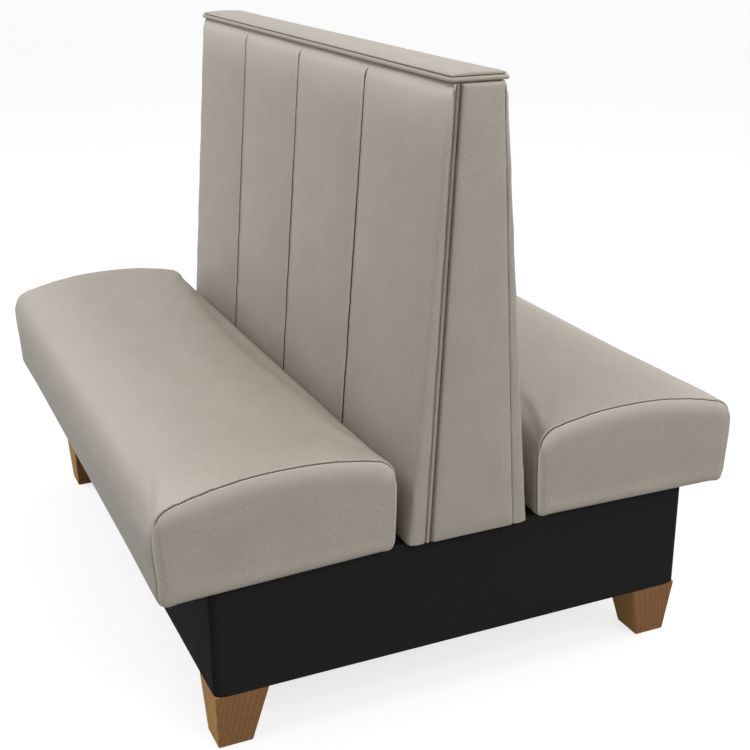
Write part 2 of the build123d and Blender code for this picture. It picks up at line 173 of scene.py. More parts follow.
bpy.ops.object.camera_add(location=camera["place"])
eye = bpy.context.object
gaze = Vector(camera["aim"]) - Vector(camera["place"])
eye.rotation_mode = "QUATERNION"
eye.rotation_quaternion = gaze.to_track_quat("-Z", "Y")
eye.rotation_mode = "XYZ"
eye.rotation_euler.rotate_axis("Z", math.radians(camera["roll"]))
eye.data.lens = camera["lens"]
scene.camera = eye
print("camera placed")


# What the materials' shader trees share

waveMm = 314  # the period of a wave texture at scale 1


def noiseAt(tree, place, sizeMm, **values):
    return addNode(
        tree, "ShaderNodeTexNoise", {}, {"Scale": 1000 / sizeMm, **values}, {"Vector": place},
    ).outputs["Fac"]


def ramp(tree, value, start=0, end=1, low=0, high=1):
    return addNode(
        tree, "ShaderNodeMapRange", {},
        {"From Min": start, "From Max": end, "To Min": low, "To Max": high}, {"Value": value},
    ).outputs[0]


def mixTones(tree, share, base, over):
    # base is a colour in hex or the socket of one
    values, links = {7: linear(over)}, {0: share}
    if isinstance(base, str):
        values[6] = linear(base)
    else:
        links[6] = base
    return addNode(tree, "ShaderNodeMix", {"data_type": "RGBA"}, values, links).outputs[2]


def bumpFrom(tree, height, depthMm, strength, invert=False):
    return addNode(
        tree, "ShaderNodeBump", {"invert": invert},
        {"Strength": strength, "Distance": depthMm * mm}, {"Height": height},
    ).outputs[0]


def facingX(tree, coordinate):
    # 1 on faces across X and 0 on faces along it
    normal = addNode(tree, "ShaderNodeSeparateXYZ", {}, {}, {0: coordinate.outputs["Normal"]})
    return addNode(
        tree, "ShaderNodeMath", {"operation": "ABSOLUTE"}, {}, {0: normal.outputs["X"]},
    ).outputs[0]


def seenDirectly(tree):
    # 1 where the camera looks, also by way of a mirror or glass, and 0 for light on its way
    path = addNode(tree, "ShaderNodeLightPath")
    seen = path.outputs["Is Camera Ray"]
    for kind in ("Is Glossy Ray", "Is Transmission Ray"):
        seen = addNode(
            tree, "ShaderNodeMath", {"operation": "MAXIMUM"}, {}, {0: seen, 1: path.outputs[kind]},
        ).outputs[0]
    return seen


def setSurface(tree, values, links):
    shader = addNode(tree, "ShaderNodeBsdfPrincipled", {}, values, links)
    addNode(tree, "ShaderNodeOutputMaterial", {}, {}, {"Surface": shader.outputs[0]})


# Materials

# PVC-coated upholstery fabric, embossed with a pebble grain: an even taupe with faint clouding,
# painted shade between the pebbles and in the seams, painted highlights on rolled edges, with a
# satin sheen.
# The real grain is about 1 mm; here it is drawn at 2.4 mm, as coarse as it needs to be to show
vinyl = {
    "colour": "#B5AEA4",
    "clouded": "#AEA69B",
    "paintedShadeInGrain": "#A9A195",
    "paintedShade": "#38332D",
    "paintedHighlight": "#D0C8BE",
    "grainMm": 2.4,
    "grainDepthMm": 0.22,
    "grainValleys": (0.35, 0.75),
    "poreMm": 1.2,
    "poreHeight": -0.4,
    "cloudMm": 70,
    "cloudEdges": (0.35, 0.65),
    "roughness": (0.46, 0.56),
    "specular": 0.3,
}


def makeVinyl():
    material, tree = newMaterial("embossed_taupe_vinyl")
    place = addNode(tree, "ShaderNodeTexCoord").outputs["Object"]
    pebbles = addNode(
        tree, "ShaderNodeTexVoronoi", {"feature": "SMOOTH_F1"},
        {"Scale": 1000 / vinyl["grainMm"], "Smoothness": 0.4}, {"Vector": place},
    ).outputs["Distance"]
    pores = noiseAt(tree, place, vinyl["poreMm"], Detail=2)
    height = addNode(
        tree, "ShaderNodeMath", {"operation": "MULTIPLY_ADD"}, {1: vinyl["poreHeight"]},
        {0: pores, 2: pebbles},
    ).outputs[0]
    clouds = noiseAt(tree, place, vinyl["cloudMm"], Detail=3, Roughness=0.6)
    paintedShading = addNode(tree, "ShaderNodeAttribute", {"attribute_name": "paintedShading"}).outputs["Fac"]
    tone = mixTones(
        tree, ramp(tree, clouds, *vinyl["cloudEdges"]), vinyl["colour"], vinyl["clouded"],
    )
    # painted shade between the pebbles of the grain
    tone = mixTones(
        tree, ramp(tree, pebbles, *vinyl["grainValleys"]), tone, vinyl["paintedShadeInGrain"],
    )
    # painted highlight where the shading attribute is below 0, and painted shade where it is above
    # 0
    tone = mixTones(tree, ramp(tree, paintedShading, 0, -1), tone, vinyl["paintedHighlight"])
    tone = mixTones(tree, paintedShading, tone, vinyl["paintedShade"])
    setSurface(
        tree, {"IOR": 1.53, "Specular IOR Level": vinyl["specular"]},
        {
            "Base Color": tone,
            "Roughness": ramp(tree, pores, 0, 1, *vinyl["roughness"]),
            "Normal": bumpFrom(tree, height, vinyl["grainDepthMm"], strength=0.5, invert=True),
        },
    )
    return material


# Bonded polyester thread, dyed to match the vinyl that it holds
thread = {
    "colour": "#A79F93",
    "twistMm": 0.9,
    "twistDepthMm": 0.1,
    "roughness": 0.6,
    "fuzz": 0.2,
}


def makeThread():
    material, tree = newMaterial("bonded_polyester_thread")
    place = addNode(tree, "ShaderNodeTexCoord").outputs["Object"]
    plies = addNode(
        tree, "ShaderNodeTexWave", {"bands_direction": "DIAGONAL"},
        {"Scale": waveMm / thread["twistMm"], "Distortion": 0.5}, {"Vector": place},
    ).outputs["Fac"]
    setSurface(
        tree,
        {
            "Base Color": linear(thread["colour"]),
            "Roughness": thread["roughness"],
            "Sheen Weight": thread["fuzz"],
        },
        {"Normal": bumpFrom(tree, plies, thread["twistDepthMm"], strength=0.4)},
    )
    return material


# Oiled oak, planed and sanded: upright grain with darker late wood, open pores as short dark
# strokes, and a low oil sheen; the faces across X are darker with painted shade
oak = {
    "earlyWood": "#D8A768",
    "lateWood": "#B07C43",
    "pore": "#6A4A2E",
    "paintedShadeAcrossX": "#855E48",
    "paintedShadeShare": 0.68,
    "paintedShadeFacing": (0.3, 0.9),
    "ringMm": 5.5,
    "poreMm": 1.1,
    "poreDepthMm": 0.15,
    "poreEdges": (0.56, 0.70),
    "poreShare": 0.75,
    "stretch": 0.06,
    "lean": (math.radians(1.5), math.radians(-2), 0),
    "roughness": (0.55, 0.7),
    "specular": 0.06,
}


def makeOak():
    material, tree = newMaterial("oiled_oak")
    coordinate = addNode(tree, "ShaderNodeTexCoord")
    grain = addNode(
        tree, "ShaderNodeMapping", {}, {"Scale": (1, 1, oak["stretch"]), "Rotation": oak["lean"]},
        {"Vector": coordinate.outputs["Object"]},
    ).outputs[0]
    rings = addNode(
        tree, "ShaderNodeTexWave",
        {"wave_type": "RINGS", "rings_direction": "Z", "wave_profile": "SAW"},
        {"Scale": waveMm / oak["ringMm"], "Distortion": 9, "Detail": 3, "Detail Scale": 0.3},
        {"Vector": grain},
    ).outputs["Fac"]
    strokes = noiseAt(tree, grain, oak["poreMm"], Detail=2)
    pores = ramp(tree, strokes, *oak["poreEdges"], high=oak["poreShare"])
    # painted shade on the faces across X
    facing = ramp(
        tree, facingX(tree, coordinate), *oak["paintedShadeFacing"], high=oak["paintedShadeShare"],
    )
    tone = mixTones(tree, rings, oak["earlyWood"], oak["lateWood"])
    tone = mixTones(tree, facing, tone, oak["paintedShadeAcrossX"])
    tone = mixTones(tree, pores, tone, oak["pore"])
    setSurface(
        tree, {"IOR": 1.5, "Specular IOR Level": oak["specular"]},
        {
            "Base Color": tone,
            "Roughness": ramp(tree, strokes, 0, 1, *oak["roughness"]),
            "Normal": bumpFrom(tree, pores, oak["poreDepthMm"], strength=0.5, invert=True),
        },
    )
    return material


# Matt black laminate pressed on plywood: near black, with a fine stipple and a little dust;
# the faces across X are a shade greyer, which is painted light
laminate = {
    "colour": "#181818",
    "paintedLightAcrossX": "#282828",
    "dusted": "#292929",
    "dustMm": 45,
    "dustEdges": (0.5, 0.75),
    "dustShare": 0.5,
    "stippleMm": 1.2,
    "stippleDepthMm": 0.06,
    "roughness": (0.7, 0.82),
    "specular": 0.03,
}


def makeLaminate():
    material, tree = newMaterial("matt_black_laminate")
    coordinate = addNode(tree, "ShaderNodeTexCoord")
    place = coordinate.outputs["Object"]
    stipple = noiseAt(tree, place, laminate["stippleMm"], Detail=2)
    dust = noiseAt(tree, place, laminate["dustMm"], Detail=5)
    # painted light: the faces across X a shade greyer
    tone = mixTones(
        tree, facingX(tree, coordinate), laminate["colour"], laminate["paintedLightAcrossX"],
    )
    tone = mixTones(
        tree, ramp(tree, dust, *laminate["dustEdges"], high=laminate["dustShare"]),
        tone, laminate["dusted"],
    )
    setSurface(
        tree, {"IOR": 1.5, "Specular IOR Level": laminate["specular"]},
        {
            "Base Color": tone,
            "Roughness": ramp(tree, stipple, 0, 1, *laminate["roughness"]),
            "Normal": bumpFrom(tree, stipple, laminate["stippleDepthMm"], strength=0.4),
        },
    )
    return material


# Wood inside: rotary-cut birch plywood with a flat, flowing figure, and sawn softwood with
# straight bands; both unfinished, so quite dull
insideWoods = {
    "rotary_cut_birch_plywood": {
        "light": "#D9BF98", "dark": "#C4A377", "bandMm": 14, "along": (0.15, 1, 1),
    },
    "sawn_softwood": {"light": "#DCC090", "dark": "#BE9259", "bandMm": 5, "along": (0.05, 1, 1)},
}
rawWood = {"bandEdges": (0.35, 0.65), "figureDepthMm": 0.2, "roughness": 0.7}


def makeInsideWood(name):
    look = insideWoods[name]
    material, tree = newMaterial(name)
    place = addNode(tree, "ShaderNodeTexCoord").outputs["Object"]
    grain = addNode(
        tree, "ShaderNodeMapping", {}, {"Scale": look["along"]}, {"Vector": place},
    ).outputs[0]
    bands = noiseAt(tree, grain, look["bandMm"], Detail=4, Distortion=0.6)
    tone = mixTones(tree, ramp(tree, bands, *rawWood["bandEdges"]), look["light"], look["dark"])
    bump = bumpFrom(tree, bands, rawWood["figureDepthMm"], strength=0.3)
    setSurface(
        tree, {"Roughness": rawWood["roughness"], "IOR": 1.5}, {"Base Color": tone, "Normal": bump},
    )
    return material


# Zinc-plated steel: bright, with the faint patches that plating leaves
zinc = {"bright": "#C9CCCF", "dull": "#A4A8AB", "patchMm": 6, "roughness": (0.25, 0.45)}


def makeZinc():
    material, tree = newMaterial("zinc_plated_steel")
    place = addNode(tree, "ShaderNodeTexCoord").outputs["Object"]
    patches = noiseAt(tree, place, zinc["patchMm"], Detail=3)
    setSurface(
        tree, {"Metallic": 1},
        {
            "Base Color": mixTones(tree, patches, zinc["bright"], zinc["dull"]),
            "Roughness": ramp(tree, patches, 0, 1, *zinc["roughness"]),
        },
    )
    return material


# Spun-bonded black cambric: dull, with the small dimples of its bond points
cambric = {
    "dimple": "#19191A",
    "fibre": "#2B2B2C",
    "dimpleMm": 1.6,
    "dimpleDepthMm": 0.15,
    "roughness": 0.85,
}


def makeCambric():
    material, tree = newMaterial("spun_bonded_cambric")
    place = addNode(tree, "ShaderNodeTexCoord").outputs["Object"]
    dimples = addNode(
        tree, "ShaderNodeTexVoronoi", {},
        {"Scale": 1000 / cambric["dimpleMm"], "Randomness": 0.25}, {"Vector": place},
    ).outputs["Distance"]
    setSurface(
        tree, {"Roughness": cambric["roughness"]},
        {
            "Base Color": mixTones(tree, dimples, cambric["dimple"], cambric["fibre"]),
            "Normal": bumpFrom(tree, dimples, cambric["dimpleDepthMm"], strength=0.6),
        },
    )
    return material


taupeVinyl = makeVinyl()
seamThread = makeThread()
oakWood = makeOak()
blackLaminate = makeLaminate()
plywood = makeInsideWood("rotary_cut_birch_plywood")
softwood = makeInsideWood("sawn_softwood")
steel = makeZinc()
blackCambric = makeCambric()

# what each node's name starts with, the longer starts first
finishes = {
    "leg_front": oakWood,
    "leg_rear": oakWood,
    "leg_plate": steel,
    "leg_hanger": steel,
    "lag_screws": steel,
    "cap_screws": steel,
    "cap_board": plywood,
    "base_cross": softwood,
    "base_corner": softwood,
    "base": blackLaminate,
    "back": plywood,
    "front_seat": softwood,
    "rear_seat": softwood,
}
for name, node in nodes.items():
    finish = next((finishes[start] for start in finishes if name.startswith(start)), taupeVinyl)
    if name.endswith("_seat_deck"):
        finish = plywood
    for slot in node.material_slots:
        slot.material = finish
print("materials made")


# Padded pieces: each starts as a copy of its solids, remeshed, then blown up as cloth

sewing = {
    "frames": 20,
    "quality": 5,
    "mass": 0.4,
    "tension": 30,
    "bending": 4,
    "backHeld": (1 * mm, 4 * mm),
    "weld": 0.01 * mm,
}
seamRing = {"margin": 12 * mm, "tolerance": 0.01 * mm, "step": 0.5 * mm}


def addBlock(low, high):
    bpy.ops.object.select_all(action="DESELECT")
    bpy.ops.mesh.primitive_cube_add(size=1, location=(low + high) / 2)
    block = bpy.context.object
    block.scale = high - low
    bpy.ops.object.transform_apply(location=True, rotation=False, scale=True)
    return block


def remeshed(name, sources, voxel, fillers=()):
    copies = []
    for source in sources:
        copy = bpy.data.objects.new(name, nodes[source].data.copy())
        scene.collection.objects.link(copy)
        copies.append(copy)
    copies += [addBlock(low, high) for low, high in fillers]
    pick(*copies)
    bpy.ops.object.join()
    piece = bpy.context.object
    piece.name = piece.data.name = name
    editAll(bpy.ops.mesh.remove_doubles, threshold=sewing["weld"])
    piece.data.remesh_voxel_size = voxel
    bpy.ops.object.voxel_remesh()
    return piece


def inflate(piece, held, shrink, pressure, cap):
    # held is 1 where the skin is sewn or stapled down, and 0 where it is free to swell
    start = pointsOf(piece) - pointsOf(piece, "normal") * (shrink * (1 - held))[:, None]
    setPoints(piece, start)
    group = piece.vertex_groups.new(name="held")
    for index in np.nonzero(held > 0.01)[0]:
        group.add([int(index)], float(held[index]), "REPLACE")
    cloth = piece.modifiers.new("Cloth", "CLOTH")
    cloth.settings.quality = sewing["quality"]
    cloth.settings.mass = sewing["mass"]
    cloth.settings.tension_stiffness = sewing["tension"]
    cloth.settings.compression_stiffness = sewing["tension"]
    cloth.settings.shear_stiffness = sewing["tension"] / 2
    cloth.settings.bending_stiffness = sewing["bending"]
    cloth.settings.use_pressure = True
    cloth.settings.uniform_pressure_force = pressure
    cloth.settings.effector_weights.gravity = 0
    cloth.settings.vertex_group_mass = "held"
    cloth.collision_settings.use_collision = False
    cloth.point_cache.frame_start = 1
    cloth.point_cache.frame_end = sewing["frames"]
    for step in range(1, sewing["frames"] + 1):
        scene.frame_set(step)
    swollen = piece.evaluated_get(bpy.context.evaluated_depsgraph_get())
    shift = pointsOf(swollen) - start
    length = np.linalg.norm(shift, axis=1) + 1e-9
    pick(piece)
    bpy.ops.object.modifier_remove(modifier=cloth.name)
    piece.vertex_groups.clear()
    scene.frame_set(1)
    setPoints(piece, start + shift * (cap * np.tanh(length / cap) / length)[:, None])
    most = length.max() / mm
    print(f"{piece.name}: swelled by up to {most:.1f} mm, kept under {cap / mm:.0f} mm")


def soften(piece, repeats):
    applyModifier(piece, "SMOOTH", factor=0.5, iterations=repeats)
    applyModifier(piece, "SUBSURF", levels=1, render_levels=1)


def cutRings(piece, seams, offsets):
    # upright edge rings beside each seam along X, so that the seam has points to follow
    mesh = bmesh.new()
    mesh.from_mesh(piece.data)
    reach = max(offsets) * mm + seamRing["margin"]
    for seam in seams:
        faces = [face for face in mesh.faces if abs(face.calc_center_median().x - seam) < reach]
        edges = {edge for face in faces for edge in face.edges}
        vertices = {vertex for face in faces for vertex in face.verts}
        band = faces + list(edges) + list(vertices)
        for offset in sorted({side * offset for side in (-1, 1) for offset in offsets}):
            plane = Vector((seam + offset * mm, 0, 0))
            cut = bmesh.ops.bisect_plane(mesh, geom=band, plane_co=plane, plane_no=(1, 0, 0))
            band = cut["geom"]
    mesh.to_mesh(piece.data)
    mesh.free()


def seamTree(piece, place):
    # points along the edge ring at one place along X, close enough together to measure from
    points = pointsOf(piece)
    ends = np.empty(len(piece.data.edges) * 2, dtype=int)
    piece.data.edges.foreach_get("vertices", ends)
    ends = ends.reshape(-1, 2)
    onRing = (np.abs(points[ends][:, :, 0] - place) < seamRing["tolerance"]).all(axis=1)
    first, last = points[ends[onRing, 0]], points[ends[onRing, 1]]
    shares = np.arange(0, 1, 0.125)
    return treeOf(np.concatenate([first + (last - first) * share for share in shares]))


def topOfSeam(points, outward, least):
    # the part of a ring that runs over the top, from nose to tail in even steps
    onTop = points[:, 2] > least
    points, outward = points[onTop], outward[onTop]
    order = np.argsort(points[:, 1])
    points, outward = points[order], outward[order]
    run = np.concatenate([[0], np.cumsum(np.linalg.norm(np.diff(points, axis=0), axis=1))])
    steps = np.arange(0, run[-1], seamRing["step"])
    return [
        np.stack([np.interp(steps, run, values[:, i]) for i in range(3)], axis=1)
        for values in (points, outward)
    ]


def carveBox(piece, low, high):
    cutter = addBlock(low, high)
    applyModifier(piece, "BOOLEAN", operation="DIFFERENCE", solver="MANIFOLD", object=cutter)
    bpy.data.objects.remove(cutter)


# Bench cushions: a cover over foam with a puffed panel sewn into each end

bench = {
    "voxel": 7 * mm,
    "shrink": 3.5 * mm,
    "pressure": 4,
    "cap": 5.5 * mm,
    "fixedRim": 12 * mm,
    "grooveDepth": 3.4 * mm,
    "grooveHalf": 1.0 * mm,
    "grooveLean": 25,
    "grooveShade": (0.85 * mm, 1.25 * mm),
    "seamReach": 20 * mm,
    "lipHeight": 0.9 * mm,
    "lipPlace": 2.6 * mm,
    "lipShade": 0.45,
    "seamTurns": (0.425, 0.455),
    "ridgeHeight": 2.2 * mm,
    "ridgeHalf": 1.6 * mm,
    "ridgeShade": 0.9,
    "ridgeFade": 20 * mm,
    "rollShade": 0.85,
    "rollStart": 2 * mm,
    "rollPlace": 5 * mm,
    "rollWidth": 19 * mm,
    "hollowDepth": 1.8 * mm,
    "hollowPlace": 6.5 * mm,
    "ringOffsets": (0, 0.4, 0.8, 1.2, 1.8, 2.6, 3.6, 5, 7, 10),
    "noseSag": 3 * mm,
    "cornerSag": 6 * mm,
    "cornerFrom": 0.6,
    "sagReach": 50 * mm,
    "lumpSag": 2.2 * mm,
    "lumpWidth": 10 * mm,
    "lumpReach": 30 * mm,
    "lumpPlaces": (20 * mm, 16 * mm),
    "frontNoseSag": 6 * mm,
    "frontCornerSag": 8 * mm,
    "noseLight": 0.45,
    "noseLightReach": 170 * mm,
    "noseLightFrom": (0.405, 0.45),
    "noseLightTurn": (0.3, 0.7),
    "noseDark": 0.32,
    "noseDarkTo": (0.36, 0.435),
    "noseDarkTurn": (0.4, 0.8),
    "overlap": 1 * mm,
    "cutBelow": 10 * mm,
    "turnUnder": 18 * mm,
    "coverThickness": 3 * mm,
    "clearance": 0.4 * mm,
}
benchSoft = ("cover", "foam", "edge_foam", "end_panel_left", "end_panel_right")


def hang(piece, noseSag, cornerSag, lumpSag):
    # the overhanging nose sags a little, and the gathered vinyl lumps at the bottom corners
    points = pointsOf(piece)
    low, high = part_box("front_seat_cover")
    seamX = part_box("front_seat_end_panel_right")[0].x
    offMiddle = np.abs(points[:, 0])
    atFoot = 1 - ease(low.z, low.z + bench["sagReach"], points[:, 2])
    baseEnd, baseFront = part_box("base_right_board")[1].x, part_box("base_front_board")[0].y
    toCorner = ease(bench["cornerFrom"], 1, offMiddle / seamX)
    overNose = ease(baseFront, low.y, points[:, 1])
    overEnd = ease(baseEnd, seamX, offMiddle) * (high.y - points[:, 1]) / (high.y - low.y)
    nose = overNose * (noseSag + (cornerSag - noseSag) * toCorner)
    points[:, 2] -= atFoot * np.maximum(nose, overEnd * cornerSag)
    atEnd = ease(seamX - bench["lumpReach"], seamX, offMiddle)
    fromNose, fromTail = bench["lumpPlaces"]
    for corner in (low.y + fromNose, high.y - fromTail):
        points[:, 2] -= lumpSag * atFoot * atEnd * hill(points[:, 1] - corner, bench["lumpWidth"])
    setPoints(piece, points)


def makeBench():
    boards = [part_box(f"front_seat_{board}") for board in ("nose_rail", "tail_rail", "deck")]
    frameLow = Vector(min(box[0][i] for box in boards) for i in range(3))
    frameHigh = Vector(max(box[1][i] for box in boards) for i in range(3))
    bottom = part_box("front_seat_cover")[0].z
    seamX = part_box("front_seat_end_panel_right")[0].x
    fillerLow = Vector((frameLow.x, frameLow.y - bench["clearance"], bottom))
    fillerHigh = frameHigh + Vector((0, bench["overlap"], bench["overlap"]))
    sources = [f"front_seat_{part}" for part in benchSoft]
    piece = remeshed("front_seat_cushion", sources, bench["voxel"], [(fillerLow, fillerHigh)])

    points = pointsOf(piece)
    atSeam = hill(np.abs(points[:, 0]) - seamX, bench["voxel"])
    atRim = 1 - ease(bottom + bench["fixedRim"], bottom + 3 * bench["fixedRim"], points[:, 2])
    held = np.clip(np.maximum(atSeam, atRim), 0, 1)
    inflate(piece, held, bench["shrink"], bench["pressure"], bench["cap"])
    soften(piece, 3)

    hang(piece, bench["noseSag"], bench["cornerSag"], bench["lumpSag"])

    # seam at each end: a sewn groove over the top, a pressed ridge down the two upright corners
    cutRings(piece, (-seamX, seamX), bench["ringOffsets"])
    points = pointsOf(piece)
    outward = pointsOf(piece, "normal")
    # a painted highlight along the nose's top edge, and painted shade on the nose below it
    fromNose = points[:, 1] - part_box("front_seat_cover")[0].y
    light = ease(*bench["noseLightFrom"], points[:, 2])
    light *= 1 - ease(0, bench["noseLightReach"], fromNose)
    light *= 1 - ease(*bench["noseLightTurn"], np.abs(outward[:, 0]))
    dull = 1 - ease(*bench["noseDarkTo"], points[:, 2])
    dull *= ease(*bench["noseDarkTurn"], -outward[:, 1])
    nose = bench["noseDark"] * dull - bench["noseLight"] * light
    outward[:, 0] = 0
    outward /= np.linalg.norm(outward, axis=1)[:, None] + 1e-9
    seamLines = []
    paintedShading = np.zeros(len(points))
    for sign in (-1, 1):
        tree = seamTree(piece, sign * seamX)
        outside = sign * points[:, 0] - seamX
        near = np.nonzero(outside > -bench["seamReach"])[0]
        far = np.array([tree.find(points[index])[2] for index in near])
        onTop = ease(*bench["seamTurns"], points[near, 2])
        groove = -bench["grooveDepth"] * hill(far, bench["grooveHalf"])
        groove += bench["lipHeight"] * hill(far - bench["lipPlace"], bench["lipPlace"] / 2)
        ridge = bench["ridgeHeight"] * hill(far, bench["ridgeHalf"])
        ridge -= bench["hollowDepth"] * hill(far - bench["hollowPlace"], bench["hollowPlace"] / 2)
        ridge *= ease(bottom, bottom + bench["ridgeFade"], points[near, 2])
        move = onTop * groove + (1 - onTop) * ridge
        lean = math.radians(bench["grooveLean"])
        leaned = outward * math.cos(lean) + np.array((sign * math.sin(lean), 0, 0))
        onRing = np.abs(points[:, 0] - sign * seamX) < seamRing["tolerance"]
        points[near] += leaned[near] * move[:, None]
        seamLines.append(topOfSeam(points[onRing], leaned[onRing], sum(bench["seamTurns"]) / 2))
        # painted shade in the groove, and painted highlights on its lip, on the roll of the end
        # panel beside it and on the upright ridges
        dark = 1 - ease(*bench["grooveShade"], far)
        dark -= bench["lipShade"] * hill(far - bench["lipPlace"], bench["lipPlace"] / 3)
        roll = hill(far - bench["rollPlace"], bench["rollWidth"])
        roll *= ease(0, bench["rollStart"], outside[near])
        dark -= bench["rollShade"] * roll
        lit = bench["ridgeShade"] * hill(far, bench["ridgeHalf"])
        paintedShading[near] = onTop * dark - (1 - onTop) * lit
    setPoints(piece, points)
    setPaintedShading(piece, paintedShading + nose * (1 - np.clip(np.abs(paintedShading), 0, 1)))

    # room for the frame, and the opening between the turned-under edges of the cover
    clear = Vector((bench["clearance"],) * 3)
    low, high = frameLow - clear, frameHigh + clear
    low.z = bottom + bench["coverThickness"]
    carveBox(piece, low, high)
    low, high = frameLow.copy(), frameHigh.copy()
    low.y += bench["turnUnder"]
    high.y -= bench["turnUnder"]
    low.z = bottom - bench["cutBelow"]
    high.z = bottom + 2 * bench["coverThickness"]
    carveBox(piece, low, high)
    return piece, seamLines


frontBench, seamLines = makeBench()
rearBench = mirrorCopy(frontBench, "rear_seat_cushion", 1)
hang(frontBench, bench["frontNoseSag"], bench["frontCornerSag"], 0)
for side, piece in (("front", frontBench), ("rear", rearBench)):
    dress(piece, taupeVinyl, [f"{side}_seat_{part}" for part in benchSoft])
print("bench cushions made")


# Stitches that bridge the top seams and show as light ticks in them: one, copied along the line

stitch = {
    "pitch": 5.2 * mm,
    "length": 3.2 * mm,
    "radius": 0.6 * mm,
    "taper": 0.6,
    "bow": 0.5,
    "rise": 2.5 * mm,
}


def makeStitch():
    bpy.ops.object.select_all(action="DESELECT")
    bpy.ops.mesh.primitive_cylinder_add(vertices=6, radius=stitch["radius"], depth=stitch["length"])
    piece = bpy.context.object
    editAll(bpy.ops.mesh.subdivide, number_cuts=2)
    points = pointsOf(piece)
    share = np.abs(points[:, 2]) / (stitch["length"] / 2)
    points[:, :2] *= (1 - stitch["taper"] * share ** 3)[:, None]
    points[:, 0] += stitch["radius"] * (stitch["bow"] - share ** 2)
    setPoints(piece, points)
    return piece


def stitchAlong(name, line, outward):
    one = makeStitch()
    copies = []
    step = int(stitch["pitch"] / seamRing["step"])
    for index in range(step, len(line) - 2 * step, step):
        here, ahead, up = Vector(line[index]), Vector(line[index + step]), Vector(outward[index])
        along = (ahead - here).normalized()
        up = (up - along * up.dot(along)).normalized()
        across = up.cross(along)
        copy = one.copy()
        copy.data = one.data.copy()
        scene.collection.objects.link(copy)
        turn = Matrix((up, across.cross(up), across)).transposed().to_4x4()
        copy.matrix_world = Matrix.Translation(here + up * stitch["rise"]) @ turn
        copies.append(copy)
    bpy.data.objects.remove(one)
    pick(*copies)
    bpy.ops.object.join()
    bpy.ops.object.transform_apply(location=True, rotation=True, scale=True)
    piece = bpy.context.object
    piece.name = piece.data.name = name
    editAll(bpy.ops.mesh.normals_make_consistent, inside=False)
    return piece


for side, (line, outward) in zip(("left", "right"), seamLines):
    front = stitchAlong(f"front_seat_stitches_{side}", line, outward)
    rear = mirrorCopy(front, f"rear_seat_stitches_{side}", 1)
    for piece in (front, rear):
        dress(piece, seamThread)
print("seams stitched")


# Pads of the back: one cover each, sewn down in three upright seams

backPad = {
    "voxel": 9 * mm,
    "shrink": 3 * mm,
    "pressure": 4,
    "cap": 7 * mm,
    "seamHalf": 8 * mm,
    "heldBehind": (-0.2, 0.3),
    "heldAtEnds": (0.5, 0.8),
    "heldFoot": 25 * mm,
    "frontFrom": (0.1, 0.4),
    "rollWidths": (9 * mm, 22 * mm),
    "openTop": 60 * mm,
    "valleyShare": 0.5,
    "valleyMost": 9 * mm,
    "seamShade": (1.6 * mm, 2.4 * mm),
    "edgeShade": 0.5,
    "edgePlace": 0.45,
    "edgeWidth": 0.2,
    "rollBlend": 0.15,
    "ringOffsets": (0, 0.3, 0.7, 1.2, 1.9, 2.8, 4, 5.5, 7.2, 9, 12, 17, 22),
    "footReach": 26 * mm,
    "footShare": 0.25,
    "headReach": 28 * mm,
    "headRoll": 7 * mm,
    "headShade": 0.9,
    "headFade": 60 * mm,
    "endReach": 30 * mm,
    "endShare": 0.5,
}
channelNames = [f"channel_{i}" for i in range(1, 5)]


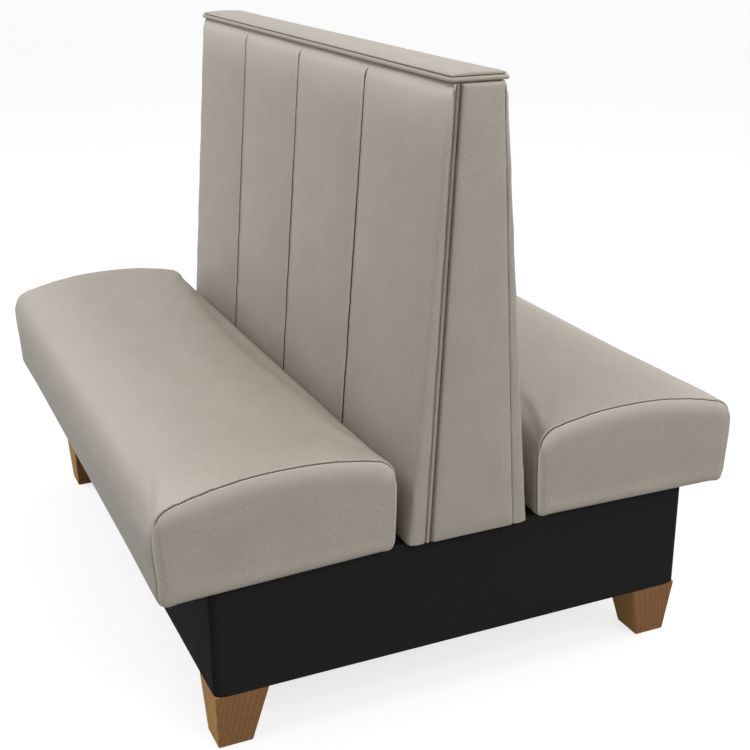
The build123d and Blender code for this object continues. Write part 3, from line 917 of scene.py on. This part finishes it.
def makeBackPad():
    channels = [f"back_front_{name}" for name in channelNames]
    piece = remeshed("back_front_pad", channels, backPad["voxel"])
    seams = [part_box(channel)[1].x for channel in channels[:-1]]
    low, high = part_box("back_front_channel_1")
    points = pointsOf(piece)
    normals = pointsOf(piece, "normal")
    held = ease(*backPad["heldBehind"], normals[:, 1])
    for seam in seams:
        held = np.maximum(held, hill(points[:, 0] - seam, backPad["seamHalf"]))
    held = np.maximum(held, ease(*backPad["heldAtEnds"], np.abs(normals[:, 0])))
    held = np.maximum(held, 1 - ease(low.z, low.z + backPad["heldFoot"], points[:, 2]))
    inflate(piece, np.clip(held, 0, 1), backPad["shrink"], backPad["pressure"], backPad["cap"])
    soften(piece, 2)

    # the foot is cut square on the base, the ends are tight, and the head rolls back under the cap
    points = pointsOf(piece)
    normals = pointsOf(piece, "normal")
    tighten(points, 2, points[:, 2].min(), 1, backPad["footReach"], backPad["footShare"])
    atHead = ease(high.z - backPad["headReach"], high.z, points[:, 2])
    points[:, 2] += (high.z - points[:, 2].max()) * atHead
    front = ease(*backPad["frontFrom"], -normals[:, 1])
    points[:, 1] += backPad["headRoll"] * atHead ** 2 * front
    tighten(points, 0, points[:, 0].min(), 1, backPad["endReach"], backPad["endShare"])
    tighten(points, 0, points[:, 0].max(), -1, backPad["endReach"], backPad["endShare"])
    setPoints(piece, points)

    # each seam pulls the cover down, in a quarter round from both sides, with painted shade inside
    # it and a painted highlight on each edge
    cutRings(piece, seams, backPad["ringOffsets"])
    points = pointsOf(piece)
    paintedShading = np.zeros(len(points))
    normals = pointsOf(piece, "normal")
    front = ease(*backPad["frontFrom"], -normals[:, 1])
    facingLow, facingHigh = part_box("back_front_facing")
    facing = [halfWidthAt("back_front_facing", z) for z in (facingLow.z, facingHigh.z)]
    for seam in seams:
        off = np.abs(points[:, 0] - seam)
        rim = (np.abs(off - backPad["rollWidths"][1]) < seamRing["tolerance"]) & (front > 0.99)
        order = np.argsort(points[rim, 2])
        face = np.interp(points[:, 2], points[rim, 2][order], points[rim, 1][order])
        thickness = -np.interp(points[:, 2], (facingLow.z, facingHigh.z), facing) - face
        opening = ease(high.z - backPad["openTop"], high.z, points[:, 2]) ** 2
        width = backPad["rollWidths"][0] * (1 - opening) + backPad["rollWidths"][1] * opening
        share = 1 - np.clip(off / width, 0, 1)
        deepest = np.minimum(backPad["valleyShare"] * thickness, backPad["valleyMost"])
        depth = deepest * (1 - np.sqrt(1 - share ** 2))
        blend = front * ease(0, backPad["rollBlend"], share)
        points[:, 1] += blend * (face + depth - points[:, 1])
        shade = ease(*backPad["seamShade"], depth)
        lit = backPad["edgeShade"] * hill(share - backPad["edgePlace"], backPad["edgeWidth"])
        paintedShading += front * (shade - lit * (1 - shade))
    # a painted highlight on the head, where the cover rolls back under the cap
    stretch = backPad["headShade"] * hill(high.z - points[:, 2], backPad["headFade"])
    paintedShading -= front * stretch * (1 - np.clip(paintedShading, 0, 1))
    setPoints(piece, points)
    setPaintedShading(piece, paintedShading)
    return piece


frontPad = makeBackPad()
rearPad = mirrorCopy(frontPad, "back_rear_pad", 1)
for side, piece in (("front", frontPad), ("rear", rearPad)):
    dress(piece, taupeVinyl, [f"back_{side}_{name}" for name in channelNames])
print("back pads made")


# Thin padded skins on the two ends of the back

endSkin = {
    "voxel": 4 * mm,
    "shrink": 1 * mm,
    "pressure": 3,
    "cap": 2.5 * mm,
    "edgeBand": 15 * mm,
    "widen": 6.5 * mm,
    "rearWiden": 17 * mm,
    "widenReach": 40 * mm,
    "thicken": 4 * mm,
    "thickenReach": 3 * mm,
    "roll": 9 * mm,
    "rollLeast": 0.25,
    "rearRollLeast": 0.65,
    "rollShade": 0.5,
    "rearShade": 0.05,
    "steepShares": (0.18, 0.42),
    "lapWidths": (9.6 * mm, 12 * mm),
    "lapHeight": 4.3 * mm,
}


def makeEndSkin():
    piece = remeshed("back_end_skin_right", ["back_end_cover_right"], endSkin["voxel"])
    points = pointsOf(piece)
    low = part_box("back_end_cover_right")[0]
    held = 1 - ease(*sewing["backHeld"], points[:, 0] - low.x)
    inflate(piece, held, endSkin["shrink"], endSkin["pressure"], endSkin["cap"])
    soften(piece, 1)

    # the padding swells up to the front welt in a roll, and laps over the rear one
    points = pointsOf(piece)
    foot, head = points[:, 2].min(), points[:, 2].max()
    bands = [np.abs(points[:, 2] - z) < endSkin["edgeBand"] for z in (foot, head)]
    spans = [np.abs(points[band, 1]).max() for band in bands]
    edge = np.interp(points[:, 2], (foot, head), spans)
    inside = edge - np.abs(points[:, 1])
    atRear = points[:, 1] > 0
    widen = np.where(atRear, endSkin["rearWiden"], endSkin["widen"])
    reach = np.minimum(endSkin["widenReach"], edge)
    points[:, 1] += np.sign(points[:, 1]) * widen * (1 - ease(0, reach, inside))
    inside = edge + widen - np.abs(points[:, 1])
    rolled = np.clip(inside / endSkin["roll"], 0, 1)
    least = np.where(atRear, endSkin["rearRollLeast"], endSkin["rollLeast"])
    lifted = ease(low.x, low.x + endSkin["thickenReach"], points[:, 0])
    points[:, 0] += lifted * endSkin["thicken"]
    bulge = least + (1 - least) * np.sqrt(1 - (1 - rolled) ** 2)
    points[:, 0] = low.x + (points[:, 0] - low.x) * bulge
    lap = atRear * (1 - ease(*endSkin["lapWidths"], inside))
    points[:, 0] += (1 - lifted) * lap * endSkin["lapHeight"]
    setPoints(piece, points)
    # painted shade on the steep part of each roll, faint at the rear
    shade = np.where(atRear, endSkin["rearShade"], endSkin["rollShade"])
    setPaintedShading(piece, shade * (1 - ease(*endSkin["steepShares"], rolled)))
    return piece


rightSkin = makeEndSkin()
leftSkin = mirrorCopy(rightSkin, "back_end_skin_left", 0)
for side, piece in (("right", rightSkin), ("left", leftSkin)):
    dress(piece, taupeVinyl, [f"back_end_cover_{side}"])
print("end skins made")


# Flanges: the margin of the vinyl, pulled flat over the end boards and stapled under the pads

flange = {"thickness": 0.7 * mm, "overlap": 0.6 * mm, "cuts": 12}


def makeFlange():
    boardLow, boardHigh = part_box("back_end_board_right")
    bpy.ops.object.select_all(action="DESELECT")
    bpy.ops.mesh.primitive_plane_add(size=1)
    piece = bpy.context.object
    piece.name = piece.data.name = "back_end_flange_right"
    points = pointsOf(piece)
    for index, (x, y, z) in enumerate(points):
        height = boardHigh.z if x > 0 else boardLow.z
        half = halfWidthAt("back_front_facing", height) + flange["overlap"]
        points[index] = boardHigh.x, -half if y > 0 else half, height
    setPoints(piece, points)
    editAll(bpy.ops.mesh.normals_make_consistent, inside=False)
    editAll(bpy.ops.mesh.subdivide, number_cuts=flange["cuts"])
    applyModifier(piece, "SOLIDIFY", thickness=flange["thickness"], offset=1)
    # it lies on the board, whichever side was thickened
    points = pointsOf(piece)
    points[:, 0] += boardHigh.x - points[:, 0].min()
    setPoints(piece, points)
    return piece


rightFlange = makeFlange()
for piece in (rightFlange, mirrorCopy(rightFlange, "back_end_flange_left", 0)):
    dress(piece, taupeVinyl)
print("end flanges made")


# Wrap: the cap's vinyl, pulled over the edge of its board and stapled underneath

capWrap = {"thickness": 0.6 * mm, "turnUnder": 12 * mm, "edgeRadius": 0.2 * mm}


def makeCapWrap():
    piece = addBlock(*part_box("cap_board"))
    piece.name = piece.data.name = "cap_wrap"
    bpy.ops.object.mode_set(mode="EDIT")
    bpy.ops.mesh.select_all(action="DESELECT")
    bpy.ops.object.mode_set(mode="OBJECT")
    for face in piece.data.polygons:
        face.select = face.normal.z > 0.5
    bpy.ops.object.mode_set(mode="EDIT")
    bpy.ops.mesh.delete(type="FACE")
    bpy.ops.object.mode_set(mode="OBJECT")
    for face in piece.data.polygons:
        face.select = face.normal.z < -0.5
    bpy.ops.object.mode_set(mode="EDIT")
    bpy.ops.mesh.inset(thickness=capWrap["turnUnder"])
    bpy.ops.mesh.delete(type="FACE")
    bpy.ops.object.mode_set(mode="OBJECT")
    applyModifier(piece, "SOLIDIFY", thickness=capWrap["thickness"], offset=1)
    applyModifier(piece, "BEVEL", width=capWrap["edgeRadius"], segments=2)
    return piece


capWrapPiece = makeCapWrap()
dress(capWrapPiece, taupeVinyl)
print("cap wrapped")


# Padded top of the cap

capTop = {
    "voxel": 3.2 * mm,
    "shrink": 0.6 * mm,
    "pressure": 3,
    "cap": 1.5 * mm,
    "rimReach": 12 * mm,
    "rimShare": 0.3,
    "footReach": 3 * mm,
    "footShare": 0.4,
    "crown": 2 * mm,
    "crownReach": 4 * mm,
}


def makeCapTop():
    piece = remeshed("cap_top", ["cap_pad"], capTop["voxel"])
    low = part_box("cap_pad")[0]
    held = 1 - ease(*sewing["backHeld"], pointsOf(piece)[:, 2] - low.z)
    inflate(piece, held, capTop["shrink"], capTop["pressure"], capTop["cap"])
    soften(piece, 1)
    points = pointsOf(piece)
    for axis in (0, 1):
        tighten(points, axis, points[:, axis].min(), 1, capTop["rimReach"], capTop["rimShare"])
        tighten(points, axis, points[:, axis].max(), -1, capTop["rimReach"], capTop["rimShare"])
    tighten(points, 2, low.z, 1, capTop["footReach"], capTop["footShare"])
    fall = (points[:, 1] / np.abs(points[:, 1]).max()) ** 2
    points[:, 2] -= capTop["crown"] * fall * ease(0, capTop["crownReach"], points[:, 2] - low.z)
    setPoints(piece, points)
    return piece


capPiece = makeCapTop()
dress(capPiece, taupeVinyl, ["cap_pad"])
print("cap made")


# Piping: cord in a strip of the vinyl, with the small puckers that its stitching leaves

piping = {
    "bevelSteps": 3,
    "step": 6 * mm,
    "pucker": 9 * mm,
    "puckerDepth": 0.12 * mm,
    "edgeRadius": 3.5 * mm,
    "edgeInset": 2.4 * mm,
    "edgeShade": 0.35,
    "edgeShadeFrom": (0.45, 1.0),
}


def pipingAlong(name, corners, closed, radius):
    curve = bpy.data.curves.new(name, "CURVE")
    curve.dimensions = "3D"
    line = curve.splines.new("POLY")
    line.points.add(len(corners) - 1)
    for point, corner in zip(line.points, corners):
        point.co = (*corner, 1)
    line.use_cyclic_u = closed
    curve.bevel_depth = radius
    curve.bevel_resolution = piping["bevelSteps"]
    curve.use_fill_caps = not closed
    piece = bpy.data.objects.new(name, curve)
    scene.collection.objects.link(piece)
    pick(piece)
    bpy.ops.object.convert(target="MESH")
    return bpy.context.object


def stepped(start, end):
    count = max(2, int((Vector(end) - Vector(start)).length / piping["step"]))
    return [Vector(start).lerp(Vector(end), i / count) for i in range(count)]


def pucker(piece):
    points = pointsOf(piece)
    normals = pointsOf(piece, "normal")
    run = points.sum(axis=1) * 2 * math.pi / piping["pucker"]
    setPoints(piece, points + normals * (piping["puckerDepth"] * np.sin(run))[:, None])


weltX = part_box("back_edge_welts")[1].x - piping["edgeRadius"] - piping["edgeInset"]
board = "back_end_board_right"
boardLow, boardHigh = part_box(board)
footHalf, headHalf = halfWidthAt(board, boardLow.z), halfWidthAt(board, boardHigh.z)
foot = Vector((weltX, -footHalf, boardLow.z))
head = Vector((weltX, -headHalf, boardHigh.z))
edgeLine = stepped(foot, head) + [head]
frontRight = pipingAlong("edge_piping_front_right", edgeLine, False, piping["edgeRadius"])
pucker(frontRight)
# painted shade on the edge pipings, deeper towards the head
darkHead = ease(*piping["edgeShadeFrom"], pointsOf(frontRight)[:, 2])
setPaintedShading(frontRight, piping["edgeShade"] * darkHead)
edgePipings = [frontRight, mirrorCopy(frontRight, "edge_piping_rear_right", 1)]
edgePipings.append(mirrorCopy(edgePipings[0], "edge_piping_front_left", 0))
edgePipings.append(mirrorCopy(edgePipings[1], "edge_piping_rear_left", 0))
for piece in edgePipings:
    dress(piece, taupeVinyl, ["back_edge_welts"])

ringLow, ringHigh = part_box("cap_welt")
ringRadius = (ringHigh.z - ringLow.z) / 2
ringX, ringY = ringHigh.x - ringRadius, ringHigh.y - ringRadius
ringZ = (ringLow.z + ringHigh.z) / 2
ringCorners = [(x * ringX, y * ringY, ringZ) for x, y in ((1, -1), (1, 1), (-1, 1), (-1, -1))]
ringLine = [point for i in range(4) for point in stepped(ringCorners[i], ringCorners[(i + 1) % 4])]
capPiping = pipingAlong("cap_piping", ringLine, True, ringRadius)
pucker(capPiping)
dress(capPiping, taupeVinyl, ["cap_welt"])
print("piping made")


# Dust covers: one sheet of cambric under each bench frame, stapled taut to its rails

dustSheet = {
    "cuts": 60,
    "sag": 1.2 * mm,
    "sagShare": 0.4,
    "stapleSpan": 200 * mm,
    "thickness": 0.4 * mm,
}


def makeDustSheet(side):
    low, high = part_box(f"{side}_seat_dust_cover")
    size = high - low
    middle = (low + high) / 2
    bpy.ops.object.select_all(action="DESELECT")
    bpy.ops.mesh.primitive_plane_add(size=1, location=(middle.x, middle.y, high.z))
    piece = bpy.context.object
    piece.name = piece.data.name = f"{side}_seat_dust_sheet"
    piece.scale = (size.x, size.y, 1)
    bpy.ops.object.transform_apply(location=True, rotation=False, scale=True)
    editAll(bpy.ops.mesh.subdivide, number_cuts=dustSheet["cuts"])
    points = pointsOf(piece)
    across = np.sin(np.pi * (points[:, 1] - low.y) / size.y)
    along = np.abs(np.sin(np.pi * points[:, 0] / dustSheet["stapleSpan"]))
    deepest = dustSheet["sagShare"] * (dustSheet["sag"] - dustSheet["thickness"])
    points[:, 2] -= dustSheet["thickness"] + deepest * across * along
    setPoints(piece, points)
    applyModifier(piece, "SOLIDIFY", thickness=dustSheet["thickness"], offset=1)
    return piece, (size.x, size.y)


for side in ("front", "rear"):
    piece, flat = makeDustSheet(side)
    dress(piece, blackCambric, [f"{side}_seat_dust_cover"])
print("dust covers made")


# Floor, world and lamps

studio = {
    "floorSize": 60,
    "floorDrop": 0.5 * mm,
    "floorSeen": "#A0A0A0",
    "floorBounce": "#868686",
    "floorLift": 0.76,
    "worldLevel": 0.42,
    "lampAim": (0.2, -0.1, 0.6),
    "lamps": {
        "left_front": {"place": (-1.6, -2.65, 3.6), "size": 2.2, "power": 70},
        "right": {"place": (3.5, 0.8, 3.0), "size": 2.2, "power": 59},
        "rear": {"place": (0.8, 2.9, 3.6), "size": 2.2, "power": 47},
        "near_top": {"place": (1.25, -1.3, 3.0), "size": 1.2, "power": 8},
    },
}

bpy.ops.object.select_all(action="DESELECT")
bpy.ops.mesh.primitive_plane_add(size=studio["floorSize"], location=(0, 0, -studio["floorDrop"]))
floor = bpy.context.object
floor.name = "studio_floor"
bpy.ops.object.transform_apply(location=True, rotation=False, scale=False)
floorMaterial, tree = newMaterial("white_paper_floor")
seen = seenDirectly(tree)
lift = addNode(
    tree, "ShaderNodeMath", {"operation": "MULTIPLY"}, {1: studio["floorLift"]}, {0: seen},
).outputs[0]
floorTone = mixTones(tree, seen, studio["floorBounce"], studio["floorSeen"])
setSurface(
    tree, {"Roughness": 1, "Emission Color": (1, 1, 1, 1)},
    {"Base Color": floorTone, "Emission Strength": lift},
)
floor.data.materials.append(floorMaterial)

world = bpy.data.worlds.new("studio")
scene.world = world
world.use_nodes = True
tree = world.node_tree
tree.nodes.clear()
level = ramp(tree, seenDirectly(tree), low=studio["worldLevel"])
background = addNode(
    tree, "ShaderNodeBackground", {}, {"Color": (1, 1, 1, 1)}, {"Strength": level},
)
addNode(tree, "ShaderNodeOutputWorld", {}, {}, {"Surface": background.outputs[0]})

for name, look in studio["lamps"].items():
    bpy.ops.object.light_add(type="AREA", location=look["place"])
    lamp = bpy.context.object
    lamp.name = f"{name}_softbox"
    lamp.data.energy = look["power"]
    lamp.data.size = look["size"]
    toward = Vector(studio["lampAim"]) - Vector(look["place"])
    lamp.rotation_euler = toward.to_track_quat("-Z", "Y").to_euler()

scene.view_settings.view_transform = "Standard"
print("studio lit")
